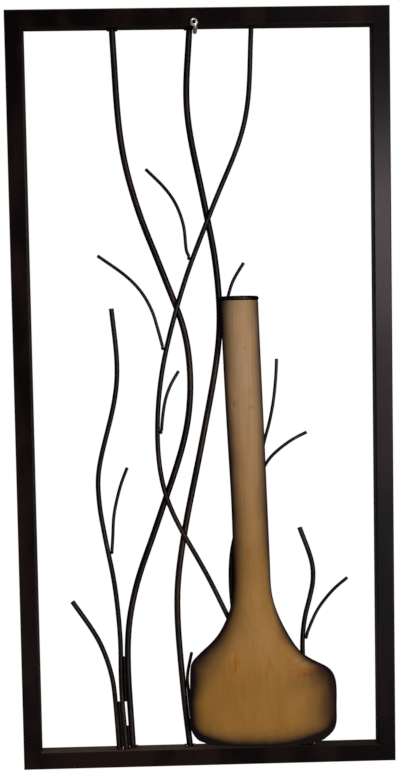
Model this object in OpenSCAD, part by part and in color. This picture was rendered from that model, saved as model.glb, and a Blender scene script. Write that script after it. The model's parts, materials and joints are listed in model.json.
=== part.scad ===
// Framed metal wall vase: a half-round sheet vase among branches of bent rod, welded
// into a frame of square tube, with a split pin clipped round the top rail to hang it by.
// X runs to the right, Y towards the wall and Z up. The origin is on the back of the
// bottom rail, at the middle of its length and height, where the frame bears on the wall.

/* [Frame] */
// Width over the side rails
frame_w = 406.4; // [380:0.1:440]
// Height over the top and bottom rails
frame_h = 812.8; // [780:0.1:860]
// Outside width of the square tube
tube = 19.05; // [18.5:0.05:22]
// Thickness of the tube's wall
tube_wall = 1.5; // [0.8:0.1:2.5]
// Outside radius of the tube's long edges
tube_edge = 1.5; // [0.5:0.1:2.5]

/* [Branches] */
// Diameter of the two heavy branches, left and middle
heavy_rod = 6.8; // [5:0.05:7.2]
// Diameter of the right branch and the shoots
light_rod = 5.3; // [4:0.05:5.8]
// Diameter of the twigs
twig_rod = 3.5; // [2.4:0.05:3.8]
// From the wall to the back of the heavy branches
heavy_inset = 3.8; // [2.5:0.1:5]

/* [Vase] */
// Height from the foot to the mouth, without the rim
vase_h = 479; // [440:1:500]
// Width of the neck where it is narrowest
neck_w = 38; // [34:0.5:42]
// Greatest width of the body
body_w = 160.5; // [140:0.5:170]
// How far the body stands forward of its back sheet
body_depth = 32; // [24:0.5:45]
// Thickness of the sheet
sheet = 1.2; // [0.8:0.1:2]
// From the bottom rail up to the foot of the vase
vase_lift = 6.8; // [4:0.1:14]
// From the frame's centre line to the middle of the body, to the right
vase_x = 50; // [44:0.5:56]
// Diameter of the rim rod
rim_rod = 4.76; // [3:0.02:6]
// How far the rim stands out past the neck
rim_proud = 0.7; // [0:0.1:2]

/* [Hanger] */
// Diameter of the pin's two legs together
pin_d = 4.5; // [3:0.1:4.8]
// Radius of the hole in the eye
eye_r = 2.1; // [1.5:0.1:4]
// Slit between the two legs
pin_slit = 0.3; // [0.1:0.05:0.5]
// Clearance between the pin and the rail
pin_gap = 0.3; // [0.1:0.05:0.6]
// From the rail's rounded lower edge up to the middle of the eye
eye_rise = 1.5; // [0.5:0.1:4]
// From the middle of the legs sideways to the middle of the eye, to the left
eye_lean = 1.3; // [0:0.1:1.6]
// Height of the pin's tail behind the rail
tail_h = 8; // [4:0.5:14]

/* [Welds] */
// Radius of a weld bead on a heavy or light rod
bead_r = 2; // [1.6:0.1:3]
// Radius of a weld bead on a twig
twig_bead_r = 2.1; // [1.5:0.1:2.8]
// Radius of a run of weld between two rods
run_r = 2.2; // [1.8:0.1:2.6]

/* [Hidden] */

// Flats on the swept rods, and rings for each stretch between two points of a route
heavy_sides = 12;
light_sides = 10;
twig_sides = 8;
rings_per_stretch = 4;
// Flats across the vase's bulge, and rings between two stations of its height
bulge_sides = 28;
rings_per_station = 3;
// How sharply the bulge turns from half-round at the neck to flat-fronted at the body
bulge_power = 5;
// Running space left between pieces that only touch
touch = 0.05;
// Space between rods that cross, and between a rod and the sheet in front of it
cross_gap = 0.1;
// Length of a cutter that runs past what it cuts
overrun = 30;
round_fn = 48;
// Facets round the small beads at the twigs and behind the vase
small_fn = 12;

iron = "#2f2826";
bronze = "#9b7442";
zinc = "#c4c2be";

opening_w = frame_w - 2 * tube;
opening_h = frame_h - 2 * tube;
rail_top = tube / 2;
rail_under = rail_top + opening_h;

// Depths in front of the wall
heavy_y = heavy_inset + heavy_rod / 2;
light_y = heavy_inset + heavy_rod + cross_gap + light_rod / 2;
back_y = light_y + light_rod / 2 + cross_gap;
shell_y = back_y + sheet;

vase_z = rail_top + vase_lift;
mouth_z = vase_z + vase_h;

// Routes of the rods from the top down: across the opening from its middle, and up
// it from the bottom rail, as shares of the opening's width and height
left_branch_shares = [[-0.246, 1], [-0.2294, 0.855], [-0.1846, 0.759], [-0.113, 0.6668],
    [-0.046, 0.57], [-0.0497, 0.455], [-0.1413, 0.3219], [-0.2113, 0.2279], [-0.2394, 0.14],
    [-0.2295, 0]];
middle_branch_shares = [[-0.023, 1], [-0.0347, 0.887], [0.011, 0.7629], [0.0435, 0.6699],
    [0.0467, 0.57], [-0.0073, 0.432], [-0.063, 0.308], [-0.0896, 0.208], [-0.076, 0.083],
    [-0.059, 0]];
right_branch_shares = [[0.154, 1], [0.1326, 0.872], [0.0343, 0.756], [-0.0619, 0.6389],
    [-0.1313, 0.501], [-0.122, 0.365], [0.0048, 0.2412], [0.118, 0.129], [0.208, 0.072],
    [0.283, 0]];
left_shoot_shares = [[-0.2649, 0.6194], [-0.2518, 0.544], [-0.2638, 0.487],
    [-0.3098, 0.402], [-0.3128, 0.352], [-0.2968, 0.299], [-0.2728, 0.234],
    [-0.2598, 0.159], [-0.2598, 0.086], [-0.2482, 0]];
low_shoot_shares = [[-0.3983, 0.2119], [-0.3371, 0.1678], [-0.3064, 0.1365],
    [-0.285, 0.0992], [-0.2767, 0.057], [-0.27, 0]];
right_shoot_shares = [[0.275, 0.3096], [0.308, 0.2648], [0.3129, 0.236], [0.3026, 0.2103],
    [0.2854, 0.1772], [0.2791, 0.134], [0.29, 0.068], [0.298, 0]];

// Free stretches of the twigs from the tip down, in the same shares
upper_left_shares = [[-0.1569, 0.809], [-0.1032, 0.7831], [-0.0705, 0.7597],
    [-0.0503, 0.7309], [-0.0445, 0.7]];
far_left_shares = [[-0.3013, 0.6921], [-0.2235, 0.6651], [-0.1769, 0.6417],
    [-0.1473, 0.6159], [-0.1321, 0.5921]];
inner_shares = [[-0.0728, 0.5317], [-0.0955, 0.5137], [-0.1119, 0.4939], [-0.1208, 0.472]];
mouth_shares = [[0.1233, 0.6796], [0.1006, 0.6629], [0.0846, 0.6471]];
on_left_shoot_shares = [[-0.2287, 0.3986], [-0.2506, 0.3717], [-0.2697, 0.3348],
    [-0.2749, 0.3039]];
on_right_shoot_shares = [[0.4145, 0.2374], [0.3699, 0.2194], [0.3255, 0.193],
    [0.2968, 0.1636]];
foot_shares = [[-0.0493, 0.134], [-0.0597, 0.1115], [-0.0636, 0.096], [-0.0611, 0.08],
    [-0.0567, 0.055]];

// Rods that grow behind the neck, from the top down: across as above, and up from the
// vase's foot as shares of the vase's height
neck_stem_shares = [[0.1541, 0.657], [0.1298, 0.586], [0.1016, 0.513], [0.0763, 0.44],
    [0.0701, 0.366]];
neck_top_shares = [[0.2139, 0.869], [0.2111, 0.83], [0.2033, 0.777], [0.1908, 0.7285],
    [0.1761, 0.6884]];
neck_low_shares = [[0.2994, 0.7029], [0.258, 0.6872], [0.2155, 0.664], [0.1805, 0.6357]];

// Where each twig meets its branch and where each bead behind the vase sits: share of
// the way down the branch's points, and side, -1 to the left and 1 to the right
twig_seat_shares = [[0.289, -1], [0.394, -1], [0.486, 1], [0.399, 1], [0.04, 1],
    [0.22, 1], [0.587, 1], [0.647, 1], [0.964, 1]];
stem_seat_share = 0.722;
back_bead_shares = [[0.8, 1], [0.911, -1], [0.786, -1], [0.914, 1], [0.34, -1], [0.64, 1]];

// Stations up the vase from the mouth down: height as a share of the vase's height,
// sideways sway as a share of the body's width, flare from neck to body, and fullness
vase_shares = [[1, -0.066, 0.019, 1], [0.892, -0.057, 0.02, 1], [0.711, -0.038, 0.017, 1],
    [0.55, -0.02, 0.008, 1], [0.414, -0.011, 0.016, 1], [0.343, -0.01, 0.035, 1],
    [0.293, -0.006, 0.128, 1], [0.243, -0.009, 0.324, 1], [0.206, -0.029, 0.572, 1],
    [0.185, -0.017, 0.757, 1], [0.164, 0.034, 0.928, 1], [0.133, 0.056, 0.994, 1],
    [0.074, 0.055, 1, 1], [0.039, 0.054, 0.999, 0.96], [0.018, 0.051, 0.94, 0.87],
    [0, 0.044, 0.8, 0.7]];

function unit(v) = v / norm(v);
// To the right of a heading in the plane of the branches, seen from the front, going down
function beside(h) = [-h[1], h[0]];

// The four points that shape stretch i of a curve through the points p
function four(p, i) = [
    i > 0 ? p[i - 1] : 2 * p[0] - p[1], p[i], p[i + 1],
    i + 2 < len(p) ? p[i + 2] : 2 * p[i + 1] - p[i]];
function curve(q, u) = (2 * q[1] + (q[2] - q[0]) * u
    + (2 * q[0] - 5 * q[1] + 4 * q[2] - q[3]) * pow(u, 2)
    + (3 * q[1] - q[0] - 3 * q[2] + q[3]) * pow(u, 3)) / 2;
function slope(q, u) = (q[2] - q[0]
    + 2 * (2 * q[0] - 5 * q[1] + 4 * q[2] - q[3]) * u
    + 3 * (3 * q[1] - q[0] - 3 * q[2] + q[3]) * pow(u, 2)) / 2;
// Point and heading at station s of a route: its whole part counts the points passed
function stretch(p, s) = min(floor(s), len(p) - 2);
function at(p, s) = curve(four(p, stretch(p, s)), s - stretch(p, s));
function heading(p, s) = unit(slope(four(p, stretch(p, s)), s - stretch(p, s)));

// A rod is built of straight runs between its rings: the run that holds station s, the
// point on it and its heading
function last_ring(p) = (len(p) - 1) * rings_per_stretch;
function run(p, s) = min(floor(s * rings_per_stretch), last_ring(p) - 1);
function run_start(p, s) = at(p, run(p, s) / rings_per_stretch);
function run_end(p, s) = at(p, (run(p, s) + 1) / rings_per_stretch);
function on_rod(p, s) = run_start(p, s)
    + (s * rings_per_stretch - run(p, s)) * (run_end(p, s) - run_start(p, s));
function rod_heading(p, s) = unit(run_end(p, s) - run_start(p, s));
// Station where a route that goes down passes a height
function station_at(p, z, from = 0, to = -1, turns = 20) =
    let (end = to < 0 ? len(p) - 1 : to, mid = (from + end) / 2)
    turns == 0 ? mid : at(p, mid)[1] > z ? station_at(p, z, mid, end, turns - 1)
        : station_at(p, z, from, mid, turns - 1);

function route(shares) = [for (p = shares) [p[0] * opening_w, rail_top + p[1] * opening_h]];
function neck_route(shares) = [for (p = shares) [p[0] * opening_w, vase_z + p[1] * vase_h]];
// Station that lies a share of the way down a route
function along(p, share) = share * (len(p) - 1);
// Route of a rod whose end lies against a branch: its free stretch, then a last point
// beside station s of the branch, with reach between the two axes
function joined_route(free, branch, s, side, reach) = concat(free,
    [on_rod(branch, s) + side * (reach + touch) * beside(rod_heading(branch, s))]);

left_branch_route = route(left_branch_shares);
middle_branch_route = route(middle_branch_shares);
right_branch_route = route(right_branch_shares);
left_shoot_route = route(left_shoot_shares);
low_shoot_route = route(low_shoot_shares);
right_shoot_route = route(right_shoot_shares);
neck_stem_route = joined_route(neck_route(neck_stem_shares), right_branch_route,
    along(right_branch_route, stem_seat_share), 1, light_rod);

// Each twig: free stretch, the branch that bears it, its radius, depth and flats
heavy_r = heavy_rod / 2;
light_r = light_rod / 2;
twig_table = [
    [route(upper_left_shares), right_branch_route, light_r, light_y, light_sides],
    [route(far_left_shares), right_branch_route, light_r, light_y, light_sides],
    [route(inner_shares), right_branch_route, light_r, light_y, light_sides],
    [route(mouth_shares), middle_branch_route, heavy_r, heavy_y, heavy_sides],
    [neck_route(neck_top_shares), neck_stem_route, light_r, light_y, light_sides],
    [neck_route(neck_low_shares), neck_stem_route, light_r, light_y, light_sides],
    [route(on_left_shoot_shares), left_shoot_route, light_r, light_y, light_sides],
    [route(on_right_shoot_shares), right_shoot_route, light_r, light_y, light_sides],
    [route(foot_shares), middle_branch_route, heavy_r, heavy_y, heavy_sides]];
function twig_station(i) = along(twig_table[i][1], twig_seat_shares[i][0]);
function twig_route(i) = let (t = twig_table[i])
    joined_route(t[0], t[1], twig_station(i), twig_seat_shares[i][1], t[2] + twig_rod / 2);

// The vase's stations: height, middle, half-width and depth of the bulge
function bulge_depth(half_w) =
    pow(pow(half_w, -bulge_power) + pow(body_depth, -bulge_power), -1 / bulge_power);
function station(v) = let (half_w = (neck_w + (body_w - neck_w) * v[2]) / 2)
    [vase_z + v[0] * vase_h, vase_x + v[1] * body_w, half_w, v[3] * bulge_depth(half_w)];
stations = [for (v = vase_shares) station(v)];
vase_levels = [for (k = [0 : (len(stations) - 1) * rings_per_station])
    at(stations, k / rings_per_station)];
mouth = stations[0];

// A round rod swept along a route, or its rings from first to last; a level end is cut
// flat to lie on a rail
module rod_along(p, depth, d, sides, level_start, level_end, first = 0, last = -1) {
    rings = last < 0 ? last_ring(p) : last;
    points = [for (k = [first : rings])
        let (s = k / rings_per_stretch, c = at(p, s), h = heading(p, s),
            level = (k == 0 && level_start) || (k == last_ring(p) && level_end),
            n = level ? [-1 / h[1], 0] : beside(h))
        for (j = [0 : sides - 1]) let (a = 360 * j / sides)
            [c[0] + d / 2 * cos(a) * n[0], d / 2 * sin(a) - depth,
                c[1] + d / 2 * cos(a) * n[1]]];
    walls = [for (k = [0 : rings - first - 1]) for (j = [0 : sides - 1])
        let (a = k * sides + j, b = k * sides + (j + 1) % sides)
        for (f = [[a, b, a + sides], [b, b + sides, a + sides]]) f];
    start = [for (j = [sides - 1 : -1 : 0]) j];
    end = [for (j = [0 : sides - 1]) (rings - first) * sides + j];
    polyhedron(points, concat(walls, [start], [end]));
}

// The few rings of a rod round station s, a touch wider: the space that it takes there
module rod_near(p, s, depth, d, sides) rod_along(p, depth, d + 2 * touch, sides, false,
    false, max(run(p, s) - 1, 0), min(run(p, s) + 2, last_ring(p)));

// The straight space that a rod takes up near its end on a rail
module rod_space(p, s, depth, d) {
    c = on_rod(p, s);
    h = rod_heading(p, s);
    translate([c[0], -depth, c[1]]) rotate([0, atan2(h[0], h[1]), 0])
        cylinder(d = d + 2 * touch, h = 2 * overrun, center = true, $fn = round_fn);
}

// One mitred tube of the frame, along X, with its outer face up and its back at Y = 0
module mitred_rail(length) {
    module tube_section(size, edge) {
        for (x = [edge, size - edge], y = [edge, size - edge])
            translate([x, y]) circle(r = edge, $fn = round_fn);
        translate([edge, 0]) square([size - 2 * edge, size]);
        translate([0, edge]) square([size, size - 2 * edge]);
    }
    color(iron) intersection() {
        translate([-length / 2, 0, 0]) rotate([90, 0, 90]) difference() {
            linear_extrude(length) translate([-tube, -tube]) tube_section(tube, tube_edge);
            translate([0, 0, -overrun]) linear_extrude(length + 2 * overrun)
                translate([tube_wall - tube, tube_wall - tube]) square(tube - 2 * tube_wall);
        }
        rotate([90, 0, 0]) linear_extrude(tube)
            polygon([[-length / 2, 0], [length / 2, 0], [length / 2 - tube, -tube],
                [tube - length / 2, -tube]]);
    }
}

module top_rail() translate([0, 0, rail_under + tube]) mitred_rail(frame_w);
module bottom_rail() translate([0, 0, -tube / 2]) mirror([0, 0, 1]) mitred_rail(frame_w);
module side_rail(side) translate([side * frame_w / 2, 0, rail_top + opening_h / 2])
    rotate([0, side * 90, 0]) mitred_rail(frame_h);

module left_branch() color(iron)
    rod_along(left_branch_route, heavy_y, heavy_rod, heavy_sides, true, true);
module middle_branch() color(iron)
    rod_along(middle_branch_route, heavy_y, heavy_rod, heavy_sides, true, true);
module right_branch() color(iron)
    rod_along(right_branch_route, light_y, light_rod, light_sides, true, true);
module shoot(p) color(iron) rod_along(p, light_y, light_rod, light_sides, false, true);
module neck_stem() color(iron)
    rod_along(neck_stem_route, light_y, light_rod, light_sides, false, false);
module twig(i) color(iron)
    rod_along(twig_route(i), twig_table[i][3], twig_rod, twig_sides, false, false);

// The bulged front of the vase, open at the mouth and at the back, with a closed foot
module vase_shell() {
    count = len(vase_levels);
    ring = bulge_sides + 1;
    function arc(v, inset, z) = [for (j = [0 : bulge_sides])
        let (a = 180 * j / bulge_sides)
        [v[1] + (v[2] - inset) * cos(a), -shell_y - (v[3] - inset) * sin(a), z]];
    outer = [for (v = vase_levels) each arc(v, 0, v[0])];
    inner = [for (v = vase_levels) each arc(v, sheet, max(v[0], vase_z + sheet))];
    function skin(first, flip) = [for (k = [0 : count - 2]) for (j = [0 : bulge_sides - 1])
        let (a = first + k * ring + j, b = a + 1, c = a + ring, d = c + 1)
        for (f = flip ? [[a, b, c], [b, d, c]] : [[a, c, b], [b, c, d]]) f];
    base = count * ring;
    last = (count - 1) * ring;
    mouth_edge = [for (j = [0 : bulge_sides - 1])
        for (f = [[j, j + 1, base + j], [j + 1, base + j + 1, base + j]]) f];
    right_edge = [for (k = [0 : count - 2]) let (a = k * ring, b = a + ring)
        for (f = [[a, base + a, b], [b, base + a, base + b]]) f];
    left_edge = [for (k = [0 : count - 2]) let (a = k * ring + bulge_sides, b = a + ring)
        for (f = [[a, b, base + a], [b, base + b, base + a]]) f];
    foot = [for (j = [0 : bulge_sides]) last + j];
    floor_inside = [for (j = [bulge_sides : -1 : 0]) base + last + j];
    foot_edge = [last, base + last, base + last + bulge_sides, last + bulge_sides];
    color(bronze) polyhedron(concat(outer, inner), concat(skin(0, false), skin(base, true),
        mouth_edge, right_edge, left_edge, [foot], [floor_inside], [foot_edge]));
}

// The flat sheet that closes the vase behind and is welded to the branches
module vase_back() {
    right = [for (v = vase_levels) [v[1] + v[2], v[0]]];
    left = [for (k = [len(vase_levels) - 1 : -1 : 0])
        [vase_levels[k][1] - vase_levels[k][2], vase_levels[k][0]]];
    color(bronze) translate([0, -back_y, 0]) rotate([90, 0, 0])
        linear_extrude(sheet) polygon(concat(right, left));
}

// Half ring of rod on the edge of the mouth
module vase_rim() color(iron)
    translate([mouth[1], -shell_y, mouth[0] + rim_rod / 2]) rotate([0, 0, 180])
        rotate_extrude(angle = 180, $fn = 2 * round_fn)
            translate([mouth[2] + rim_proud - rim_rod / 2, 0])
                circle(d = rim_rod, $fn = round_fn);

// Split pin of half-round wire: an eye in front of the top rail, and two legs that run
// under the rail and turn up behind it. It rests beside the middle branch.
pin_r = pin_d / 2;
hanger_x = middle_branch_route[0][0] + heavy_rod / 2 + pin_gap + pin_r;
module hanger() {
    turn = tube_edge + pin_gap + pin_r;
    front_y = tube - tube_edge;
    turn_z = rail_under + tube_edge;
    eye = [-eye_lean, -front_y - turn, turn_z + eye_rise];
    // A leg's section: the half of a circle on one side of the slit
    module leg_section(side) intersection() {
        circle(r = pin_r, $fn = round_fn);
        translate([side > 0 ? pin_slit / 2 : -pin_d, -pin_d]) square([pin_d, 2 * pin_d]);
    }
    module leg(side) {
        translate([0, -front_y, turn_z]) rotate([0, 90, 0]) rotate([0, 0, -90])
            rotate_extrude(angle = 90, $fn = 2 * round_fn)
                translate([turn, 0]) rotate(90) leg_section(side);
        translate([0, -tube_edge, turn_z - turn]) rotate([90, 0, 0])
            linear_extrude(front_y - tube_edge) leg_section(side);
        translate([0, -tube_edge, turn_z]) rotate([0, 90, 0])
            rotate_extrude(angle = 90, $fn = 2 * round_fn)
                translate([turn, 0]) rotate(90) leg_section(side);
        translate([0, turn - tube_edge, turn_z]) linear_extrude(tail_h) leg_section(side);
    }
    color(zinc) translate([hanger_x, 0, 0]) {
        difference() {
            union() {
                leg(1);
                leg(-1);
            }
            translate(eye) rotate([90, 0, 0])
                cylinder(r = eye_r + pin_r / 2, h = 2 * pin_d, center = true,
                    $fn = 2 * round_fn);
        }
        translate(eye) rotate([90, 0, 0]) rotate_extrude($fn = 2 * round_fn)
            translate([eye_r, 0]) intersection() {
                circle(r = pin_r, $fn = round_fn);
                translate([0, -pin_d]) square([pin_d, 2 * pin_d]);
            }
    }
}

// A weld bead: a drop of metal cut clear of what the children take up
module bead(x, depth, z, r, fn = round_fn) difference() {
    translate([x, -depth, z]) sphere(r = r, $fn = fn);
    children();
}

// A bead where a rod meets a rail; up is 1 on the bottom rail and -1 under the top one
module rail_bead(p, s, depth, d, side, up) {
    c = at(p, s);
    level = up > 0 ? rail_top : rail_under;
    bead(c[0] + side * (d + bead_r) / 2, depth, level + up * bead_r / 4, bead_r) {
        rod_space(p, s, depth, d);
        translate([c[0] - overrun / 2, -depth - overrun / 2,
            level - (up > 0 ? overrun - touch : touch)]) cube(overrun);
    }
}

// A run of weld in the gap between two upright rods, the left one first, from one height
// above the rail to another. Each rod is its route, depth, diameter and flats.
module weld_run(left, right, low, high) {
    heights = [rail_top + low, rail_top + high];
    difference() {
        hull() for (z = heights) {
            a = on_rod(left[0], station_at(left[0], z));
            b = on_rod(right[0], station_at(right[0], z));
            translate([(a[0] + left[2] / 2 + b[0] - right[2] / 2) / 2,
                -(left[1] + right[1]) / 2, z]) sphere(r = run_r, $fn = small_fn);
        }
        for (rod = [left, right])
            rod_along(rod[0], rod[1], rod[2] + 2 * touch, rod[3], false, true,
                run(rod[0], station_at(rod[0], heights[1] + run_r)) - 1,
                min(run(rod[0], station_at(rod[0], heights[0] - run_r)) + 2,
                    last_ring(rod[0])));
        translate([left[0][0][0] - overrun, -overrun, rail_top - overrun + touch])
            cube([3 * overrun, overrun, overrun]);
    }
}

module foot_welds() color(iron) {
    low_shoot_rod = [low_shoot_route, light_y, light_rod, light_sides];
    left_shoot_rod = [left_shoot_route, light_y, light_rod, light_sides];
    left_branch_rod = [left_branch_route, heavy_y, heavy_rod, heavy_sides];
    weld_run(low_shoot_rod, left_shoot_rod, 0, 51);
    weld_run(left_shoot_rod, left_branch_rod, 0, 23);
    weld_run(left_shoot_rod, left_branch_rod, 54, 100);
    rail_bead(left_branch_route, len(left_branch_route) - 1, heavy_y, heavy_rod, 1, 1);
    for (side = [-1, 1])
        rail_bead(middle_branch_route, len(middle_branch_route) - 1, heavy_y, heavy_rod,
            side, 1);
    rail_bead(low_shoot_route, len(low_shoot_route) - 1, light_y, light_rod, -1, 1);
    rail_bead(right_branch_route, len(right_branch_route) - 1, light_y, light_rod, -1, 1);
    rail_bead(right_shoot_route, len(right_shoot_route) - 1, light_y, light_rod, 1, 1);
}

module head_welds() color(iron) {
    for (side = [-1, 1]) rail_bead(left_branch_route, 0, heavy_y, heavy_rod, side, -1);
    rail_bead(middle_branch_route, 0, heavy_y, heavy_rod, -1, -1);
    rail_bead(right_branch_route, 0, light_y, light_rod, 1, -1);
}

// A bead at the end of each twig, against the branch that bears it
module twig_welds() color(iron) for (i = [0 : len(twig_table) - 1]) {
    branch = twig_table[i][1];
    radius = twig_table[i][2];
    depth = twig_table[i][3];
    sides = twig_table[i][4];
    s = twig_station(i);
    p = twig_route(i);
    c = on_rod(branch, s) + twig_rod / 2 * rod_heading(branch, s)
        + twig_seat_shares[i][1] * (radius + twig_rod / 3) * beside(rod_heading(branch, s));
    bead(c[0], depth, c[1], twig_bead_r, small_fn) {
        rod_near(branch, s, depth, 2 * radius, sides);
        rod_near(p, len(p) - 1, depth, twig_rod, twig_sides);
    }
}

// A bead behind the vase, in the corner between a branch and the back sheet
module back_bead(p, seat) {
    s = along(p, seat[0]);
    c = on_rod(p, s) + seat[1] * (light_r + bead_r / 2) * beside(rod_heading(p, s));
    bead(c[0], back_y - bead_r / 4, c[1], bead_r, small_fn) {
        rod_near(p, s, light_y, light_rod, light_sides);
        translate([c[0] - overrun / 2, -back_y - overrun + touch, c[1] - overrun / 2])
            cube(overrun);
    }
}

module vase_welds() color(iron) {
    bearers = [right_branch_route, right_shoot_route, neck_stem_route];
    for (i = [0 : len(back_bead_shares) - 1])
        back_bead(bearers[floor(i / 2)], back_bead_shares[i]);
}

top_rail();
bottom_rail();
side_rail(-1);  // left_rail
side_rail(1);  // right_rail
left_branch();
middle_branch();
right_branch();
shoot(left_shoot_route);  // left_shoot
shoot(low_shoot_route);  // low_shoot
shoot(right_shoot_route);  // right_shoot
neck_stem();
twig(0);  // twig_upper_left
twig(1);  // twig_far_left
twig(2);  // twig_inner
twig(3);  // twig_mouth
twig(4);  // twig_neck_top
twig(5);  // twig_neck_low
twig(6);  // twig_left_shoot
twig(7);  // twig_right_shoot
twig(8);  // twig_foot
vase_shell();
vase_back();
vase_rim();
hanger();
foot_welds();
head_welds();
twig_welds();
vase_welds();
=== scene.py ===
"""Framed metal wall vase: finished rods, sheet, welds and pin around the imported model,
their lacquers and plating, and a pale studio with the camera."""

import json
import math

import bmesh
import bpy
import numpy as np
from mathutils import Matrix, Vector

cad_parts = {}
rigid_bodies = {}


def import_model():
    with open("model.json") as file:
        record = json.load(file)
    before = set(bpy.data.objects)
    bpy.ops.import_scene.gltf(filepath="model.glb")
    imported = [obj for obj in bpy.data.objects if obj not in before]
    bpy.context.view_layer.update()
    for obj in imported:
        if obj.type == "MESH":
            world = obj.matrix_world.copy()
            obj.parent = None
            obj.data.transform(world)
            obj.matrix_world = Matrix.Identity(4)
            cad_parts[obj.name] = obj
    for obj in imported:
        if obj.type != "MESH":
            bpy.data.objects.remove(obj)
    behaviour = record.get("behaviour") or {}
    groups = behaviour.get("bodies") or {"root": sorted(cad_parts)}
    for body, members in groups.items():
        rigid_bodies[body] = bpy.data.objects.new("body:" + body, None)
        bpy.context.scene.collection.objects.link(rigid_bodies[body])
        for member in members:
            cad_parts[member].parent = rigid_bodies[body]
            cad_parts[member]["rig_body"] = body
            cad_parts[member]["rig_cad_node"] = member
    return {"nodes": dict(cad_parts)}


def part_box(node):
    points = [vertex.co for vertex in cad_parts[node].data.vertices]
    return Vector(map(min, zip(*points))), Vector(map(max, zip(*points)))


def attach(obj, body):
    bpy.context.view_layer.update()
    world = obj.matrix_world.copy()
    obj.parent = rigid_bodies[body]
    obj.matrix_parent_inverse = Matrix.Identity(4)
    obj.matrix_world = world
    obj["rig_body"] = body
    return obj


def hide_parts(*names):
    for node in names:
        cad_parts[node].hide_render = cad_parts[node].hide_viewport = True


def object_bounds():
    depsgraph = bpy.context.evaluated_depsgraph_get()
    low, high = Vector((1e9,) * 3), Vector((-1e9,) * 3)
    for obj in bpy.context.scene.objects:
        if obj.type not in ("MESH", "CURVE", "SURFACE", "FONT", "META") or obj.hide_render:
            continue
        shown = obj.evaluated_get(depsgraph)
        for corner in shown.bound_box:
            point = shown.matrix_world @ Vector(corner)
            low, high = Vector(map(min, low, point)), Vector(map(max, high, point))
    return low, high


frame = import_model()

bl_info = {
    "name": "Framed Metal Wall Vase",
    "version": (1, 0, 0),
    "blender": (4, 5, 0),
    "location": "View3D > Sidebar > Wall Vase",
    "description": "Finishes a framed wall vase of bent rod and sheet metal",
    "category": "Object",
}

CAD_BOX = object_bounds()
MM = 0.001

# Rods by family: the CAD nodes and the flats round each of them
RODS = {
    12: ["left_branch", "middle_branch"],
    10: ["right_branch", "left_shoot", "low_shoot", "right_shoot", "neck_stem"],
    8: ["twig_upper_left", "twig_far_left", "twig_inner", "twig_mouth", "twig_neck_top",
        "twig_neck_low", "twig_left_shoot", "twig_right_shoot", "twig_foot"],
}
ROD_DIAMETER = {12: 6.8 * MM, 10: 5.3 * MM, 8: 3.5 * MM}
RAILS = ["top_rail", "bottom_rail", "left_rail", "right_rail"]
WELDS = ["foot_welds", "head_welds", "twig_welds", "vase_welds"]

# Loose triangles closer than this are one mesh
MERGE = 0.001 * MM
# Bends between faces: flatter than the first is one flat, sharper than the second an edge
FLAT = math.radians(3)
SHARP = math.radians(55)


def linear(text):
    """An sRGB hex colour as linear red, green and blue."""
    parts = [int(text[i:i + 2], 16) / 255 for i in (1, 3, 5)]
    return [c / 12.92 if c <= 0.04045 else ((c + 0.055) / 1.055) ** 2.4 for c in parts]


def colour(text, name, description):
    """A colour that a user may change, from its sRGB hex value."""
    return bpy.props.FloatVectorProperty(
        name=name, description=description, subtype="COLOR", size=3, min=0, max=1,
        default=linear(text))


def length(mm, name, description):
    """A length that a user may change, from its value in millimetres."""
    return bpy.props.FloatProperty(
        name=name, description=description, default=mm * MM, min=0, precision=5,
        subtype="DISTANCE", unit="LENGTH")


class WallVaseSizes(bpy.types.PropertyGroup):
    """Sizes of the finished pieces"""

    rod_edge: length(0.35, "Rod End Edge", "Width of the broken edge round a rod's end")
    sheet_edge: length(0.25, "Sheet Edge", "Width of the broken edge of the sheet metal")
    bead_grain: length(0.35, "Bead Grain", "Size of the cells that a weld bead is made of")
    bead_ripple: length(0.5, "Bead Ripple", "Height of the ripples on a weld bead")
    floor_drop: length(520, "Floor Drop", "From the frame's foot down to the floor")
    detail: bpy.props.IntProperty(
        name="Detail", description="Subdivision levels of the rods and the sheet",
        default=2, min=1, max=3)


class WallVaseColours(bpy.types.PropertyGroup):
    """Colours of the finishes"""

    frame_black: colour("#060403", "Frame Black", "Satin paint on the square tube")
    frame_brown: colour("#170e0b", "Frame Brown", "Thin paint where the tube was brushed")
    # Mauve painted sheen: the lamps' reflection on the right rail, painted into the paint's
    # colour
    frame_sheen_mauve: colour("#1b1719", "Frame Sheen Mauve", "Mauve sheen painted on the paint")
    # Dust and painted light from above, lightening the faces that look up
    frame_dust_and_light: colour("#3a2d28", "Frame Dust And Light", "Dust and painted light on the faces that look up")
    rod_dark: colour("#211d1b", "Rod Dark", "Oil-rubbed bronze in the hollows")
    rod_copper: colour("#3b302b", "Rod Copper", "Bronze rubbed bare along the rods")
    weld_copper: colour("#a98674", "Weld Copper", "Burnt flecks on the welds")
    neck_tan: colour("#987b5e", "Neck Tan", "Lacquer at the mouth of the vase")
    neck_amber: colour("#835e31", "Neck Amber", "Lacquer low on the neck")
    shoulder_honey: colour("#8c6533", "Shoulder Honey", "Lacquer on the shoulders")
    body_ochre: colour("#815922", "Body Ochre", "Lacquer on the body of the vase")
    smoke: colour("#1a1214", "Smoke", "Black-brown sprayed round the vase's outline")
    drip: colour("#824a0a", "Drip", "Orange runs in the lacquer")
    zinc: colour("#dcdad6", "Zinc", "Plated wire of the split pin")
    floor: colour("#dedcd8", "Floor", "Plain floor under the part")


def alone(piece):
    """Selects one piece and nothing else."""
    bpy.ops.object.select_all(action="DESELECT")
    piece.select_set(True)
    bpy.context.view_layer.objects.active = piece


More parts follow.
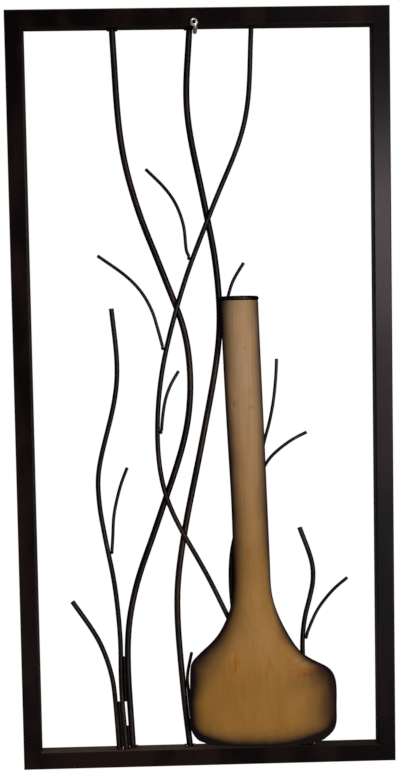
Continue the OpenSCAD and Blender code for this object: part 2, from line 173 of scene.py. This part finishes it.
def node_copy(node, name):
    """A new piece from a CAD node, merged and in edit mode with all of it selected."""
    alone(frame["nodes"][node])
    bpy.ops.object.duplicate()
    piece = bpy.context.active_object
    piece.parent = None
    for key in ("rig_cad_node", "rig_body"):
        del piece[key]
    piece.name = piece.data.name = name
    bpy.ops.mesh.customdata_custom_splitnormals_clear()
    bpy.ops.object.mode_set(mode="EDIT")
    bpy.ops.mesh.select_all(action="SELECT")
    bpy.ops.mesh.remove_doubles(threshold=MERGE)
    return piece


def to_quads():
    """Joins the selected triangles in pairs."""
    bpy.ops.mesh.tris_convert_to_quads(
        face_threshold=math.radians(30), shape_threshold=math.radians(80))


def select_flats(piece):
    """Selects the faces whose every edge is flat or sharp: the plain ends of a piece."""
    bpy.ops.mesh.select_mode(type="FACE")
    mesh = bmesh.from_edit_mesh(piece.data)
    for face in mesh.faces:
        bends = [abs(edge.calc_face_angle(0)) for edge in face.edges]
        face.select_set(all(b < FLAT or b > SHARP for b in bends))
    bmesh.update_edit_mesh(piece.data)


def break_edges(width):
    """Bevels every sharp edge of the piece in edit mode."""
    bpy.ops.mesh.select_mode(type="EDGE")
    bpy.ops.mesh.select_all(action="DESELECT")
    bpy.ops.mesh.edges_select_sharp(sharpness=SHARP)
    bpy.ops.mesh.bevel(offset=width, segments=2, profile=0.5, affect="EDGES")


def modify(piece, kind, **settings):
    """Adds a modifier and applies it."""
    alone(piece)
    modifier = piece.modifiers.new(kind.title(), kind)
    for key, value in settings.items():
        setattr(modifier, key, value)
    bpy.ops.object.modifier_apply(modifier=modifier.name)


def place(piece, material, slot, *nodes, body="frame"):
    """Paints a finished piece and puts it in the place of its CAD nodes."""
    piece.data.materials.clear()
    piece.data.materials.append(material)
    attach(piece, body)
    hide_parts(*nodes)


def repaint(node, material):
    """Gives a carried-over CAD node its finish."""
    piece = frame["nodes"][node]
    for slot in piece.material_slots:
        slot.material = material


def add_node(tree, kind, inputs=None, stops=None, **settings):
    """Adds a node with its settings, its ramp's stops and its inputs, values or links."""
    made = tree.nodes.new(kind)
    for key, value in settings.items():
        setattr(made, key, value)
    if stops:
        elements = made.color_ramp.elements
        while len(elements) < len(stops):
            elements.new(1.0)
        for element, (position, tint) in zip(elements, stops):
            element.position = position
            element.color = [*tint, 1.0]
    for socket, value in (inputs or {}).items():
        if isinstance(value, bpy.types.NodeSocket):
            tree.links.new(value, made.inputs[socket])
        else:
            made.inputs[socket].default_value = value
    return made


def new_material(name):
    """An empty material and the Object coordinates that its patterns read."""
    material = bpy.data.materials.new(name)
    material.use_nodes = True
    tree = material.node_tree
    tree.nodes.clear()
    return material, tree, add_node(tree, "ShaderNodeTexCoord").outputs["Object"]


def finish_material(tree, normal=None, **surface):
    """Ends a material in one Principled surface; a name's underscores are spaces."""
    inputs = {key.replace("_", " "): value for key, value in surface.items()}
    if normal:
        inputs["Normal"] = normal
    shader = add_node(tree, "ShaderNodeBsdfPrincipled", inputs)
    add_node(tree, "ShaderNodeOutputMaterial", {"Surface": shader.outputs["BSDF"]})


def grain(tree, where, size, stretch=(1, 1, 1), detail=3.0, shift=0.0):
    """A noise whose blots are size mm across, longer along an axis by its stretch."""
    mapped = add_node(tree, "ShaderNodeMapping", {
        "Vector": where, "Location": (shift, shift, shift),
        "Scale": [1 / s for s in stretch]})
    return add_node(tree, "ShaderNodeTexNoise", {
        "Vector": mapped.outputs["Vector"], "Scale": 1 / (size * MM),
        "Detail": detail}).outputs["Fac"]


def blend(tree, factor, a, b):
    """Mixes two colours."""
    return add_node(tree, "ShaderNodeMix", {0: factor, 6: a, 7: b},
                    data_type="RGBA").outputs[2]


def blend_values(tree, factor, a, b):
    """Mixes two values."""
    return add_node(tree, "ShaderNodeMix", {0: factor, 2: a, 3: b},
                    data_type="FLOAT").outputs[0]


def combine(tree, operation, a, b):
    """Works two values into one."""
    return add_node(tree, "ShaderNodeMath", {0: a, 1: b}, operation=operation).outputs[0]


def parts_of(tree, vector):
    """The X, Y and Z of a vector."""
    return add_node(tree, "ShaderNodeSeparateXYZ", {"Vector": vector}).outputs


def bumpy(tree, height, strength, depth=0.05):
    """A normal that follows a pattern, whose full height is depth mm."""
    return add_node(tree, "ShaderNodeBump", {
        "Strength": strength, "Distance": depth * MM, "Height": height}).outputs["Normal"]


def spread(tree, value, low, high, to_low=0.0, to_high=1.0):
    """Stretches a value from one range to another, and keeps it inside."""
    return add_node(tree, "ShaderNodeMapRange", {
        "Value": value, "From Min": low, "From Max": high, "To Min": to_low,
        "To Max": to_high}).outputs["Result"]


def rgba(tint, share=1.0):
    """A colour with its alpha, as a share of its brightness."""
    return [*(c * share for c in tint), 1.0]


def tube_paint(colours):
    """Satin black paint, sprayed on mild steel tube from the front: low even gloss, thin
    brown patches and a mauve painted sheen, with dry, dull sides and brown dust and painted
    light on top."""
    material, tree, where = new_material("satin_black_paint")
    normal = add_node(tree, "ShaderNodeTexCoord").outputs["Normal"]
    facing = parts_of(tree, normal)
    front = add_node(tree, "ShaderNodeMath", {0: facing["Y"]},
                     operation="ABSOLUTE").outputs[0]
    spot = parts_of(tree, where)
    across, up = spot["X"], spot["Z"]
    brushed = grain(tree, where, 26, (1.6, 1, 4), shift=0.3)
    sheen_blots = grain(tree, where, 90, (1, 1, 1.8), detail=2.0)
    # The brown is heaviest low on the left, and the mauve painted sheen lies on the right
    # and high up, where the lamps reflect
    low_left = combine(tree, "MULTIPLY", spread(tree, up, 60 * MM, -10 * MM, 0, 0.22),
                       spread(tree, across, 40 * MM, -30 * MM))
    worn = combine(tree, "ADD", brushed, low_left)
    brown = blend(tree, spread(tree, worn, 0.46, 0.68), rgba(colours.frame_black),
                  rgba(colours.frame_brown))
    painted_sheen_place = combine(tree, "MULTIPLY", spread(tree, up, 20 * MM, 160 * MM),
                         spread(tree, across, -60 * MM, 160 * MM))
    painted_sheen = combine(tree, "MULTIPLY", spread(tree, sheen_blots, 0.48, 0.74, 0.1, 0.75),
                      painted_sheen_place)
    # Mauve painted sheen, standing in for the lamps' reflection high on the right rail
    base = blend(tree, painted_sheen, brown, rgba(colours.frame_sheen_mauve))
    # Dust and painted light on the faces that look up, less of it on the right, away from
    # the lamps
    top_dust_and_light = combine(tree, "MULTIPLY", spread(tree, facing["Z"], 0.2, 0.8),
                   spread(tree, across, 40 * MM, 110 * MM, 1.0, 0.3))
    base = blend(tree, top_dust_and_light, base, rgba(colours.frame_dust_and_light))
    # Brush marks 0.8 mm apart
    brush = grain(tree, where, 0.8, (1, 1, 14), detail=2.0)
    satin = spread(tree, sheen_blots, 0.3, 0.7, 0.23, 0.19)
    dull = blend_values(tree, front, 0.85, satin)
    # The gloss dies away towards the frame's foot and head
    shine = combine(tree, "MINIMUM", spread(tree, up, 0, 160 * MM, 0.04, 0.12),
                    spread(tree, up, 780 * MM, 660 * MM, 0.05, 0.12))
    finish_material(tree, bumpy(tree, brush, 0.12), Base_Color=base, Roughness=dull,
                    Specular_IOR_Level=shine, Specular_Tint=rgba([1.0, 0.86, 0.93]))
    return material


def rod_bronze(colours):
    """Oil-rubbed bronze on steel rod: a dark metal, with copper rubbed bare in short
    runs and a thin highlight down each rod."""
    material, tree, where = new_material("oil_rubbed_bronze")
    rub = grain(tree, where, 18, (1, 1, 4), detail=3.0)
    fleck = grain(tree, where, 2.2, detail=2.0)
    base = blend(tree, spread(tree, rub, 0.45, 0.75), rgba(colours.rod_dark),
                 rgba(colours.rod_copper))
    base = blend(tree, spread(tree, fleck, 0.35, 0.65, 0.0, 0.25), base,
                 rgba(colours.rod_dark, 0.5))
    finish_material(tree, bumpy(tree, fleck, 0.15), Base_Color=base, Metallic=1.0,
                    Specular_Tint=rgba([0.12, 0.1, 0.09]),
                    Roughness=spread(tree, rub, 0.3, 0.7, 0.34, 0.44))
    return material


def weld_metal(colours):
    """Weld bead under thin lacquer: darker than the rod, burnt to coppery flecks at the
    foot of the frame."""
    material, tree, where = new_material("lacquered_weld_bead")
    burnt = grain(tree, where, 1.6, detail=3.0)
    base = blend(tree, spread(tree, burnt, 0.45, 0.65),
                 rgba(colours.rod_dark, 0.5), rgba(colours.rod_dark))
    fleck = combine(tree, "MULTIPLY", spread(tree, burnt, 0.48, 0.56),
                    spread(tree, parts_of(tree, where)["Z"], 13 * MM, 11.5 * MM))
    base = blend(tree, fleck, base, rgba(colours.weld_copper))
    finish_material(tree, bumpy(tree, burnt, 0.3, 0.1), Base_Color=base, Metallic=1.0,
                    Specular_Tint=rgba([0.2, 0.16, 0.14]), Roughness=0.38)
    return material


def zinc_plate(colours):
    """Bright zinc plate on half-round steel wire: light grey metal, slightly cloudy, and
    darkened with painted shade on the legs under the rail."""
    material, tree, where = new_material("zinc_plated_wire")
    cloud = grain(tree, where, 1.5, detail=2.0)
    base = blend(tree, spread(tree, cloud, 0.4, 0.7), rgba(colours.zinc),
                 rgba(colours.zinc, 0.55))
    # Painted shade begins under the eye, where the legs pass under the rail
    under_rail_shade = spread(tree, parts_of(tree, where)["Z"], 785 * MM, 781 * MM, 0, 0.75)
    base = blend(tree, under_rail_shade, base,
                 rgba([c * s for c, s in zip(colours.zinc, (0.16, 0.13, 0.11))]))
    finish_material(tree, Base_Color=base, Metallic=1.0,
                    Roughness=spread(tree, cloud, 0.3, 0.7, 0.28, 0.42))
    return material


# Marks in the vase's lacquer: centre across and up, half-width and half-height, in mm,
# and how strong they are
DRIPS = [
    (27.5, 108, 1.7, 11, 1), (25, 102, 1.3, 9, 0.7), (31, 110, 1.2, 8, 0.6),
    (64, 107, 1.6, 9, 0.75), (66.5, 103, 1.2, 7, 0.5), (61, 101, 1.1, 6, 0.4),
    (92, 98.5, 20, 2.6, 0.5), (102, 94.5, 5, 3, 0.9), (96, 94, 3, 4, 0.5),
    (108, 94, 2.2, 5, 0.7), (32, 53, 1.7, 8, 0.5), (28.5, 62, 1.1, 9, 0.35),
    (31.5, 386, 2, 5, 0.5), (48.5, 382, 4, 4, 0.4), (48, 400, 2, 8, 0.25),
    (44.5, 227, 3, 12, 0.3), (16, 96, 1.6, 32, 0.3), (21.5, 104, 1.5, 22, 0.3),
    (36.5, 88, 1.6, 30, 0.3), (26, 78, 1.8, 24, 0.35), (41.5, 100, 1.5, 24, 0.2),
    (70, 92, 1.8, 20, 0.2)]
# The first two are painted highlights along the right shoulder's edge, the third a pale
# mark on the neck
SHOULDER_HIGHLIGHT_AND_MARK = [(94, 109, 6, 3, 0.5), (101, 104, 7, 2.5, 0.5), (44, 240, 6, 9, 0.15)]
SPECKS = [(43.4, 445, 1.6, 1.8, 0.3), (43.6, 247, 1.2, 3, 0.35), (32, 388, 1, 2.5, 0.3),
          (36, 377, 5, 1, 0.15)]
# Every mark reaches through the front sheet: its middle and half-depth in mm
MARK_MIDDLE, MARK_DEPTH = -42, 60


def marks(tree, where, table):
    """How far a point lies inside the soft-edged marks of a table, the greatest of them."""
    total = None
    for x, z, half_w, half_h, strength in table:
        mapped = add_node(tree, "ShaderNodeMapping", {
            "Vector": where, "Location": (x * MM, MARK_MIDDLE * MM, z * MM),
            "Scale": (half_w * MM, MARK_DEPTH * MM, half_h * MM)}, vector_type="TEXTURE")
        spot = add_node(tree, "ShaderNodeTexGradient", {
            "Vector": mapped.outputs["Vector"]}, gradient_type="SPHERICAL")
        soft = spread(tree, spot.outputs["Fac"], 0, 0.6, 0, strength)
        total = soft if total is None else combine(tree, "MAXIMUM", total, soft)
    return total


def sheet_lacquer(colours):
    """Tinted lacquer on sheet steel, tan at the mouth and ochre on the body, with fine
    streaks down it, a few orange runs, black-brown sprayed along the outline, and a
    painted highlight along the right shoulder's edge."""
    material, tree, where = new_material("smoked_tan_lacquer")
    tan, amber, ochre = colours.neck_tan, colours.neck_amber, colours.body_ochre
    base = add_node(tree, "ShaderNodeValToRGB", {
        "Fac": spread(tree, parts_of(tree, where)["Z"], 16 * MM, 496 * MM)}, stops=[
            (0.0, ochre), (0.16, ochre), (0.24, colours.shoulder_honey), (0.42, amber),
            (0.7, [0.6 * a + 0.4 * b for a, b in zip(tan, amber)]),
            (0.93, tan)]).outputs["Color"]
    # Streaks 2.2 mm apart, drawn as coarse as the picture can show
    streak = grain(tree, where, 2.2, (1, 1, 30), detail=3.0)
    cloud = grain(tree, where, 22, (1, 1, 2.5), detail=3.0)
    base = blend(tree, spread(tree, streak, 0.3, 0.7, 0.0, 0.3), base,
                 rgba(ochre, 0.55))
    base = blend(tree, spread(tree, cloud, 0.35, 0.7, 0.0, 0.3), base,
                 rgba([min(1, c * 1.3) for c in amber]))
    base = blend(tree, marks(tree, where, DRIPS), base, rgba(colours.drip))
    base = blend(tree, marks(tree, where, SPECKS), base, rgba([0.09, 0.045, 0.015]))
    # The spray's edge wanders by a few millimetres
    wander = grain(tree, where, 16, (1, 1, 2), detail=2.0)
    smoke = add_node(tree, "ShaderNodeAttribute", attribute_name="smoke").outputs["Fac"]
    sprayed = combine(tree, "ADD", spread(tree, wander, 0.3, 0.7, -0.06, 0.06), smoke)
    base = blend(tree, spread(tree, sprayed, 0.02, 0.94), base, rgba(colours.smoke))
    # Pale marks: painted highlights where the right shoulder's edge catches the light, and
    # one pale mark on the neck
    base = blend(tree, marks(tree, where, SHOULDER_HIGHLIGHT_AND_MARK), base, rgba([0.24, 0.145, 0.085]))
    finish_material(tree, bumpy(tree, streak, 0.1), Base_Color=base,
                    Specular_IOR_Level=spread(tree, smoke, 0.45, 0.95, 0.09, 0.0),
                    Roughness=spread(tree, cloud, 0.3, 0.7, 0.52, 0.6))
    return material


class WALLVASE_OT_frame_tubes(bpy.types.Operator):
    """Paint the four mitred tubes of the frame"""

    bl_idname = "wallvase.frame_tubes"
    bl_label = "Frame Tubes"

    def execute(self, context):
        paint = tube_paint(context.scene.wall_vase_colours)
        for rail in RAILS:
            repaint(rail, paint)
        return {"FINISHED"}


class WALLVASE_OT_bent_rods(bpy.types.Operator):
    """Round the bent rods, break the edges of their ends and finish them in bronze"""

    bl_idname = "wallvase.bent_rods"
    bl_label = "Bent Rods"

    def execute(self, context):
        sizes = context.scene.wall_vase_sizes
        bronze = rod_bronze(context.scene.wall_vase_colours)
        for flats, nodes in RODS.items():
            # Subdivision pulls a ring of flats in by this share of its radius
            pull = 3 / (2 + math.cos(2 * math.pi / flats)) - 1
            for node in nodes:
                rod = node_copy(node, node + "_rod")
                to_quads()
                select_flats(rod)
                bpy.ops.mesh.dissolve_faces()
                bpy.ops.mesh.select_all(action="SELECT")
                bpy.ops.transform.shrink_fatten(
                    value=pull * ROD_DIAMETER[flats] / 2, use_even_offset=True)
                break_edges(sizes.rod_edge)
                bpy.ops.object.mode_set(mode="OBJECT")
                modify(rod, "SUBSURF", levels=sizes.detail, render_levels=sizes.detail)
                bpy.ops.object.shade_smooth()
                place(rod, bronze, "dark_iron", node)
        repaint("vase_rim", bronze)
        return {"FINISHED"}


# Width of the spray inside the outline: height in mm, left and right width in mm
SPRAY = np.array([
    [16, 18, 22], [30, 13.8, 21.5], [40, 11, 25], [62, 8.2, 23.5], [84, 14.8, 22],
    [95, 18, 13], [101, 16.5, 4], [111, 12.9, 3.6], [122, 9.8, 4.2], [133, 8.7, 6.6],
    [149, 7.4, 4], [171, 6.2, 2.3], [193, 6.2, 3.8], [237, 7.5, 6.8], [281, 6.4, 8],
    [335, 7.7, 5.5], [390, 5, 5.8], [444, 7.7, 6], [476, 8.6, 6.4], [490, 11, 7.6]],
    float)
# Width of the spray along the foot in mm
FOOT_SPRAY = 12
# How sharply the spray ends, at heights in mm: more sharply on the body than up the neck
SPRAY_FALL = ([30, 90, 120], [1.7, 1.9, 1.4])
# Points of the outline within this many mm are at one height or in one plane
SAME = 0.02


def spray_outline(piece):
    """Stores how deep each point lies in the spray along the vase's outline."""
    outline = np.array([v.co for v in frame["nodes"]["vase_back"].data.vertices]) / MM
    levels = np.unique(np.round(outline[:, 2], 2))
    rows = [outline[abs(outline[:, 2] - z) < SAME][:, 0] for z in levels]
    sides = np.array([[row.min(), row.max()] for row in rows])
    points = np.array([v.co for v in piece.data.vertices]) / MM
    depth = []
    for side, width in ((0, 1), (1, 2)):
        ends = np.column_stack([sides[:, side], levels])
        start, step = ends[:-1], np.diff(ends, axis=0)
        to = points[:, None, [0, 2]] - start[None]
        share = np.clip((to * step).sum(2) / (step ** 2).sum(1), 0, 1)
        near = np.sqrt(((to - share[..., None] * step) ** 2).sum(2)).min(1)
        depth.append(near / np.interp(points[:, 2], SPRAY[:, 0], SPRAY[:, width]))
    foot = (points[:, 2] - levels[0]) / FOOT_SPRAY
    fall = np.interp(points[:, 2], *SPRAY_FALL)
    smoke = sum(np.exp(-np.clip(d, 0, None) ** fall) for d in (*depth, foot))
    layer = piece.data.attributes.new("smoke", "FLOAT", "POINT")
    layer.data.foreach_set("value", np.clip(smoke, 0, 1).astype(np.float32))


class WALLVASE_OT_sheet_vase(bpy.types.Operator):
    """Smooth the bulged sheet and its back, and spray their outline"""

    bl_idname = "wallvase.sheet_vase"
    bl_label = "Sheet Vase"

    def execute(self, context):
        sizes = context.scene.wall_vase_sizes
        lacquer = sheet_lacquer(context.scene.wall_vase_colours)
        back = back_sheet(sizes)
        front = node_copy("vase_shell", "vase_front_sheet")
        to_quads()
        break_edges(sizes.sheet_edge)
        bpy.ops.object.mode_set(mode="OBJECT")
        modify(front, "SUBSURF", levels=sizes.detail, render_levels=sizes.detail)
        for piece, node in ((front, "vase_shell"), (back, "vase_back")):
            alone(piece)
            bpy.ops.object.shade_smooth()
            spray_outline(piece)
            place(piece, lacquer, "bronze_sheet", node)
        return {"FINISHED"}


# Fewer edges than this can't be the two sides of the outline
LEAST_EDGES = 20


def back_sheet(sizes):
    """The back sheet: the two sides of the vase's outline, bridged and thickened."""
    low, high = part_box("vase_back")
    back = node_copy("vase_shell", "vase_back_sheet")
    bpy.ops.mesh.select_mode(type="EDGE")
    bpy.ops.mesh.select_all(action="DESELECT")
    mesh = bmesh.from_edit_mesh(back.data)
    outline = outline_points()
    kept = 0
    for edge in mesh.edges:
        side = all(abs(v.co.y - low.y) < SAME * MM and on_outline(v.co, outline)
                   for v in edge.verts) and edge_climbs(edge)
        kept += side
        edge.select_set(not side)
    bmesh.update_edit_mesh(back.data)
    if kept < LEAST_EDGES:
        raise RuntimeError("the outline of the vase wasn't found on its shell")
    bpy.ops.mesh.delete(type="EDGE_FACE")
    bpy.ops.mesh.select_all(action="SELECT")
    bpy.ops.mesh.delete_loose(use_verts=True, use_edges=False, use_faces=False)
    bpy.ops.mesh.select_all(action="SELECT")
    bpy.ops.mesh.bridge_edge_loops(number_cuts=23, interpolation="LINEAR")
    bpy.ops.object.mode_set(mode="OBJECT")
    if back.data.polygons[0].normal.y > 0:
        bpy.ops.object.mode_set(mode="EDIT")
        bpy.ops.mesh.select_all(action="SELECT")
        bpy.ops.mesh.flip_normals()
        bpy.ops.object.mode_set(mode="OBJECT")
    modify(back, "SOLIDIFY", thickness=high.y - low.y, offset=-1)
    bpy.ops.object.mode_set(mode="EDIT")
    break_edges(sizes.sheet_edge)
    bpy.ops.object.mode_set(mode="OBJECT")
    modify(back, "SUBSURF", levels=1, render_levels=1)
    return back


def outline_points():
    """The vase's outline: every point of the back sheet, across and up, in mm."""
    return {(round(v.co.x / MM, 1), round(v.co.z / MM, 1))
            for v in frame["nodes"]["vase_back"].data.vertices}


def on_outline(point, outline):
    """Whether a point is on the vase's outline, give or take one rounding step."""
    x, z = point.x / MM, point.z / MM
    return any((round(x + a, 1), round(z + b, 1)) in outline
               for a in (-0.05, 0, 0.05) for b in (-0.05, 0, 0.05))


def edge_climbs(edge):
    """Whether an edge runs up the vase and not across its foot or mouth."""
    a, b = (v.co for v in edge.verts)
    return abs(a.z - b.z) > 0.2 * MM and abs(a.x - b.x) < 40 * MM


class WALLVASE_OT_weld_beads(bpy.types.Operator):
    """Turn the plain weld beads into rippled drops of metal"""

    bl_idname = "wallvase.weld_beads"
    bl_label = "Weld Beads"

    def execute(self, context):
        sizes = context.scene.wall_vase_sizes
        metal = weld_metal(context.scene.wall_vase_colours)
        ripple = bpy.data.textures.new("bead_ripple", "CLOUDS")
        ripple.noise_scale = 1.4 * MM
        for node in WELDS:
            beads = node_copy(node, node.replace("welds", "weld_beads"))
            bpy.ops.object.mode_set(mode="OBJECT")
            modify(beads, "REMESH", mode="VOXEL", voxel_size=sizes.bead_grain)
            modify(beads, "SMOOTH", factor=0.5, iterations=3)
            modify(beads, "DISPLACE", texture=ripple, texture_coords="LOCAL",
                   strength=sizes.bead_ripple, mid_level=0.4)
            bpy.ops.object.shade_smooth()
            place(beads, metal, "dark_iron", node)
        return {"FINISHED"}


class WALLVASE_OT_split_pin(bpy.types.Operator):
    """Finish the split pin round the top rail in bright zinc"""

    bl_idname = "wallvase.split_pin"
    bl_label = "Split Pin"

    def execute(self, context):
        repaint("hanger", zinc_plate(context.scene.wall_vase_colours))
        return {"FINISHED"}


# Lamps: name, place and aim in metres, width and height in metres, power in watts
LAMPS = [
    ("key_strip", (0.95, -1.92, 0.5), (0.0, 0.0, 0.4), (0.18, 1.8), 22),
    ("rail_sheen", (0.69, -2.85, 0.81), (0.19, 0.0, 0.57), (0.4, 0.42), 8.5),
    ("low_sheen", (0.69, -2.85, 0.3), (0.19, 0.0, 0.38), (0.4, 0.7), 1.8),
    ("top_light", (-0.4, -1.3, 2.2), (0.0, 0.0, 0.4), (1.2, 0.8), 12),
]
# The photograph's view: place in metres, turn, rise and roll in radians, lens and shift
CAMERA_PLACE = (-0.052757, -1.436879, 0.450089)
CAMERA_TURN, CAMERA_RISE, CAMERA_ROLL = -0.02444, -0.06827, -0.01846
CAMERA_LENS, CAMERA_SHIFT = 61.35, (0.01548, 0.0594)
# Level of the plain light all round, and in gloss of the dim room behind the camera and
# of the pale backdrop behind the part
ROOM_LIGHT, ROOM_GLOSS, WALL_GLOSS = 0.57, 0.12, 0.7


def white_world(scene):
    """A white backdrop to the camera and in gloss behind the part, plain light for the
    rest, and a dimmer room in front of the part."""
    world = bpy.data.worlds.new("studio")
    scene.world = world
    world.use_nodes = True
    tree = world.node_tree
    tree.nodes.clear()
    rays = add_node(tree, "ShaderNodeLightPath").outputs
    direction = add_node(tree, "ShaderNodeTexCoord").outputs["Generated"]
    towards = parts_of(tree, direction)
    behind = combine(tree, "MULTIPLY", spread(tree, towards["Y"], -0.2, 0.6),
                     spread(tree, towards["Z"], 0, 0.15))
    gloss = spread(tree, behind, 0, 1, ROOM_GLOSS, WALL_GLOSS)
    level = blend_values(tree, rays["Is Glossy Ray"], ROOM_LIGHT, gloss)
    seen = combine(tree, "MAXIMUM", rays["Is Camera Ray"], rays["Is Transmission Ray"])
    level = blend_values(tree, seen, level, 1.0)
    sky = add_node(tree, "ShaderNodeBackground", {"Color": (1, 1, 1, 1),
                                                  "Strength": level})
    add_node(tree, "ShaderNodeOutputWorld", {"Surface": sky.outputs["Background"]})


def floor_paint(colours):
    """Matt pale floor that fades to the white backdrop a metre from the part."""
    material, tree, where = new_material("matt_pale_floor")
    rays = add_node(tree, "ShaderNodeLightPath").outputs
    away = add_node(tree, "ShaderNodeVectorMath", {0: where},
                    operation="LENGTH").outputs["Value"]
    seen = combine(tree, "MULTIPLY", rays["Is Camera Ray"],
                   spread(tree, away, 0.75, 1.5))
    speckle = grain(tree, where, 6, detail=4.0)
    base = blend(tree, spread(tree, speckle, 0.3, 0.7, 0, 0.12), rgba(colours.floor),
                 rgba(colours.floor, 0.8))
    matt = add_node(tree, "ShaderNodeBsdfDiffuse", {"Color": base})
    white = add_node(tree, "ShaderNodeEmission", {"Color": (1, 1, 1, 1), "Strength": 1.0})
    both = add_node(tree, "ShaderNodeMixShader", {
        0: seen, 1: matt.outputs["BSDF"], 2: white.outputs["Emission"]})
    add_node(tree, "ShaderNodeOutputMaterial", {"Surface": both.outputs["Shader"]})
    return material


class WALLVASE_OT_stage(bpy.types.Operator):
    """Lay the floor, hang the lamps and set the camera as in the photograph"""

    bl_idname = "wallvase.stage"
    bl_label = "Studio"

    def execute(self, context):
        scene = context.scene
        scene.view_settings.view_transform = "Standard"
        white_world(scene)
        bpy.ops.object.select_all(action="DESELECT")
        drop = scene.wall_vase_sizes.floor_drop
        bpy.ops.mesh.primitive_circle_add(
            vertices=96, radius=3, fill_type="TRIFAN",
            location=(0, 0, CAD_BOX[0].z - drop))
        floor = bpy.context.active_object
        floor.name = "studio_floor"
        floor.data.materials.append(floor_paint(scene.wall_vase_colours))
        for name, spot, aim, size, power in LAMPS:
            lamp = bpy.data.lights.new(name, "AREA")
            lamp.shape = "RECTANGLE"
            lamp.size, lamp.size_y = size
            lamp.energy = power
            holder = bpy.data.objects.new(name, lamp)
            holder.location = spot
            holder.rotation_euler = (Vector(aim) - Vector(spot)).to_track_quat(
                "-Z", "Y").to_euler()
            scene.collection.objects.link(holder)
        camera = bpy.data.objects.new("camera", bpy.data.cameras.new("camera"))
        scene.collection.objects.link(camera)
        camera.matrix_world = Matrix.Translation(CAMERA_PLACE) @ (
            Matrix.Rotation(CAMERA_TURN, 4, "Z")
            @ Matrix.Rotation(math.pi / 2 + CAMERA_RISE, 4, "X")
            @ Matrix.Rotation(CAMERA_ROLL, 4, "Z"))
        camera.data.lens = CAMERA_LENS
        camera.data.shift_x, camera.data.shift_y = CAMERA_SHIFT
        scene.camera = camera
        return {"FINISHED"}


STEPS = [WALLVASE_OT_frame_tubes, WALLVASE_OT_bent_rods, WALLVASE_OT_sheet_vase,
         WALLVASE_OT_weld_beads, WALLVASE_OT_split_pin, WALLVASE_OT_stage]


class WALLVASE_PT_panel(bpy.types.Panel):
    """Steps, sizes and colours of the wall vase"""

    bl_idname = "WALLVASE_PT_panel"
    bl_label = "Wall Vase"
    bl_space_type = "VIEW_3D"
    bl_region_type = "UI"
    bl_category = "Wall Vase"

    def draw(self, context):
        for step in STEPS:
            self.layout.operator(step.bl_idname)
        for group in (context.scene.wall_vase_sizes, context.scene.wall_vase_colours):
            box = self.layout.box()
            for key in group.__annotations__:
                box.prop(group, key)


CLASSES = [WallVaseSizes, WallVaseColours, *STEPS, WALLVASE_PT_panel]


def register():
    for cls in CLASSES:
        bpy.utils.register_class(cls)
    bpy.types.Scene.wall_vase_sizes = bpy.props.PointerProperty(type=WallVaseSizes)
    bpy.types.Scene.wall_vase_colours = bpy.props.PointerProperty(type=WallVaseColours)


def unregister():
    del bpy.types.Scene.wall_vase_colours
    del bpy.types.Scene.wall_vase_sizes
    for cls in reversed(CLASSES):
        bpy.utils.unregister_class(cls)


def main():
    """Registers the add-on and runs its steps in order."""
    register()
    bpy.ops.wallvase.frame_tubes()
    bpy.ops.wallvase.bent_rods()
    bpy.ops.wallvase.sheet_vase()
    bpy.ops.wallvase.weld_beads()
    bpy.ops.wallvase.split_pin()
    bpy.ops.wallvase.stage()


if __name__ == "__main__":
    main()
